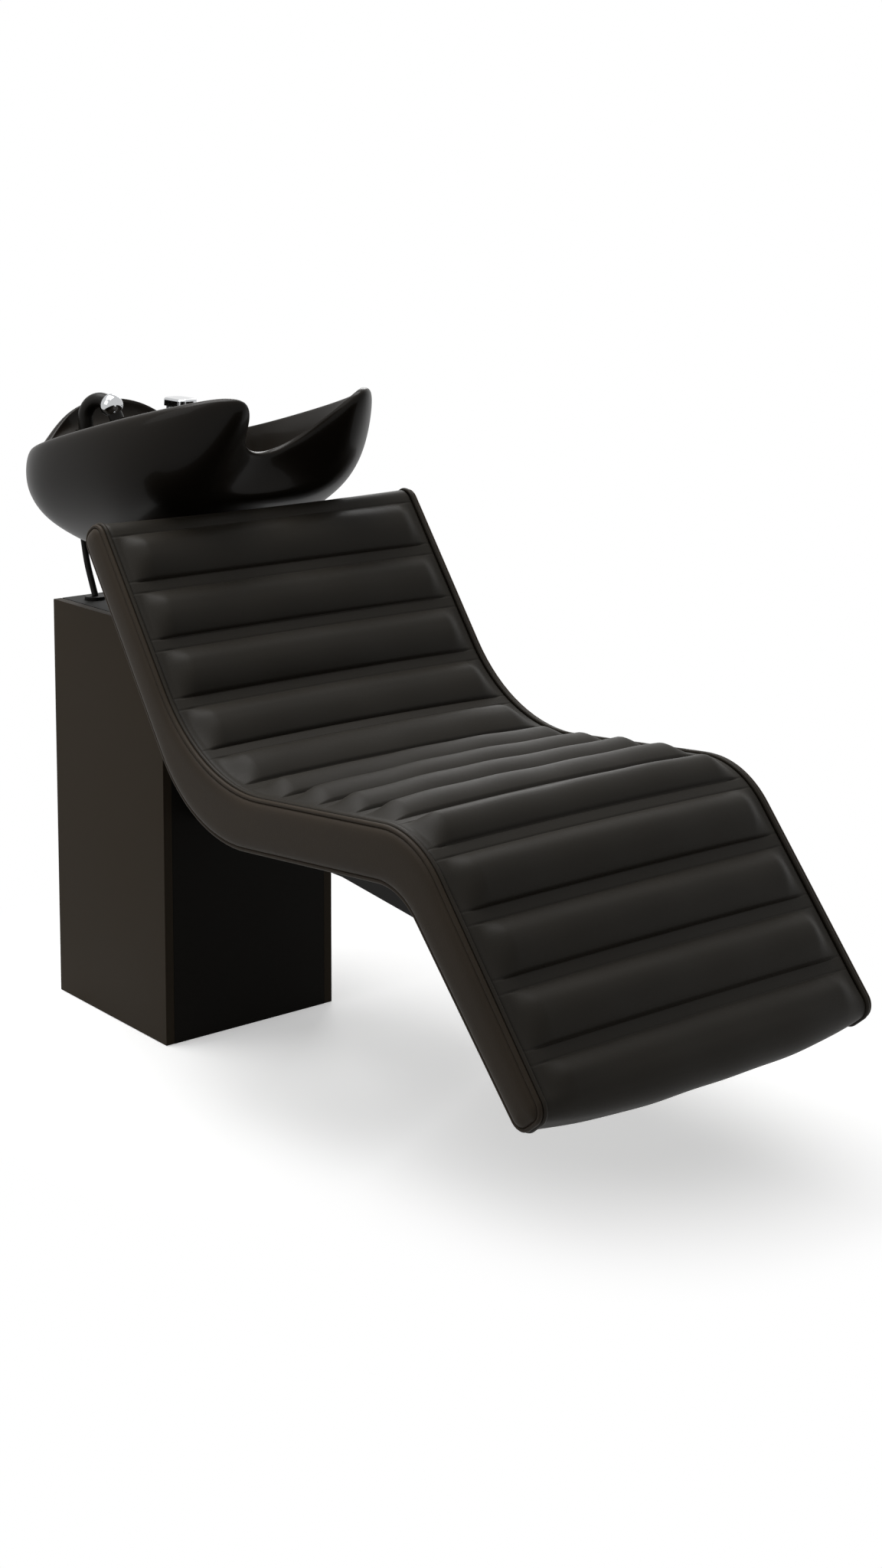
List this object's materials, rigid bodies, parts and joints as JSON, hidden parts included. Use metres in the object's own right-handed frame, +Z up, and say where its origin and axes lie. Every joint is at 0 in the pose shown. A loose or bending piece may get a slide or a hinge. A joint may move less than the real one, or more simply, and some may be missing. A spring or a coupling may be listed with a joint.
{
  "type": "salon backwash unit",
  "caption": "Black salon backwash unit: one-piece channel-quilted lounger on a square plinth, with a tilting wash bowl, lever mixer and pull-out hand shower at the rear.",
  "frame": {"origin": "centre of the plinth's footprint on the floor", "axes": "X across the unit, +Y to the rear where the bowl is, -Y to the foot end, +Z up"},
  "size_m": [0.62, 1.5269, 1.0708],
  "materials": {
    "upholstery": "channel-quilted soft cushion in satin black faux leather",
    "side_leather": "smooth satin black faux leather",
    "piping": "sewn satin black cord",
    "plywood": "raw birch plywood",
    "side_board": "matte charcoal laminate",
    "front_board": "matte black laminate",
    "cover_board": "satin black laminate",
    "black_strip": "matte black spacer",
    "black_steel": "black powder coat",
    "ballast_iron": "raw cast",
    "plain_steel": "zinc plated",
    "bowl_glaze": "black gloss glaze",
    "chrome": "polished chrome",
    "brass": "machined brass",
    "black_plastic": "satin black",
    "hose_rubber": "black rubber",
    "waste_plastic": "white plastic",
    "hot_grip": "red plastic",
    "cold_grip": "blue plastic"
  },
  "bodies": {
    "base": {"ballast_plates": "ballast_iron", "base_plate": "black_steel", "beam_bolts": "plain_steel", "bottle_trap": "waste_plastic", "channel_pad": "upholstery", "cold_hose": "hose_rubber", "cold_riser": "hose_rubber", "cold_valve": "brass", "column": "black_steel", "corner_posts": "plywood", "cross_slats": "plywood", "frame_ribs": "plywood", "front_panel": "front_board", "hinge_fixed_leaves": "plain_steel", "hinge_pins": "plain_steel", "hose_grommets": "hose_rubber", "hot_hose": "hose_rubber", "hot_riser": "hose_rubber", "hot_valve": "brass", "latch_keeper": "black_steel", "left_panel": "side_board", "left_piping": "piping", "left_side_pad": "side_leather", "pedestal_bolts": "plain_steel", "pivot_bushes": "black_plastic", "right_panel": "side_board", "right_piping": "piping", "right_side_pad": "side_leather", "seat_beam": "black_steel", "seat_deck": "plywood", "shadow_strip": "black_strip", "tilt_pedestal": "black_steel", "top_cover": "cover_board", "under_cover": "side_leather", "valve_rail": "black_steel", "waste_hose": "waste_plastic", "waste_pipe": "waste_plastic"},
    "door": {"rear_door": "front_board", "hinge_door_leaves": "plain_steel"},
    "latch": {"door_latch": "plain_steel"},
    "bowl_body": {"bowl": "bowl_glaze", "bowl_carrier": "black_steel", "pivot_pin": "plain_steel", "drain_flange": "chrome", "drain_gasket": "hose_rubber", "drain_nut": "black_plastic", "mixer_body": "chrome", "mixer_nut": "brass", "supply_tails": "brass", "shower_holder": "black_plastic"},
    "strainer_body": {"strainer": "chrome"},
    "turret": {"mixer_turret": "chrome", "lever_pin": "plain_steel"},
    "lever": {"mixer_lever": "chrome"},
    "shower": {"shower_handle": "black_plastic", "shower_head": "chrome", "spray_plate": "black_plastic", "shower_hose": "hose_rubber"},
    "hot_grip_body": {"hot_valve_lever": "hot_grip"},
    "cold_grip_body": {"cold_valve_lever": "cold_grip"}
  },
  "joints": [
    {"name": "bowl_tilt", "type": "hinge", "parent": "base", "child": "bowl_body", "pos_m": [0, -0.034, 0.735], "axis": [-1, 0, 0], "range_deg": [0, 10], "deforming": ["waste_hose", "hot_riser", "cold_riser"]},
    {"name": "strainer_lift", "type": "slide", "parent": "bowl_body", "child": "strainer_body", "axis": [0, 0, 1], "range_m": [0, 0.04]},
    {"name": "mixer_turn", "type": "hinge", "parent": "bowl_body", "child": "turret", "pos_m": [0.09, 0.18, 0.983], "axis": [0, 0, 1], "range_deg": [-45, 45]},
    {"name": "mixer_lift", "type": "hinge", "parent": "turret", "child": "lever", "pos_m": [0.09, 0.189, 1.00048], "axis": [-1, 0, 0], "range_deg": [0, 25]},
    {"name": "shower_pull", "type": "slide", "parent": "bowl_body", "child": "shower", "axis": [0, 0, 1], "range_m": [0, 0.085]},
    {"name": "door_swing", "type": "hinge", "parent": "base", "child": "door", "pos_m": [0.151, 0.173, 0.336], "axis": [0, 0, -1], "range_deg": [0, 100]},
    {"name": "latch_turn", "type": "hinge", "parent": "door", "child": "latch", "pos_m": [-0.11, 0.161, 0.36], "axis": [0, 1, 0], "range_deg": [0, 90]},
    {"name": "hot_valve_turn", "type": "hinge", "parent": "base", "child": "hot_grip_body", "pos_m": [0.07, 0.123, 0.42], "axis": [0, 1, 0], "range_deg": [0, 90]},
    {"name": "cold_valve_turn", "type": "hinge", "parent": "base", "child": "cold_grip_body", "pos_m": [-0.07, 0.123, 0.42], "axis": [0, -1, 0], "range_deg": [0, 90]}
  ]
}
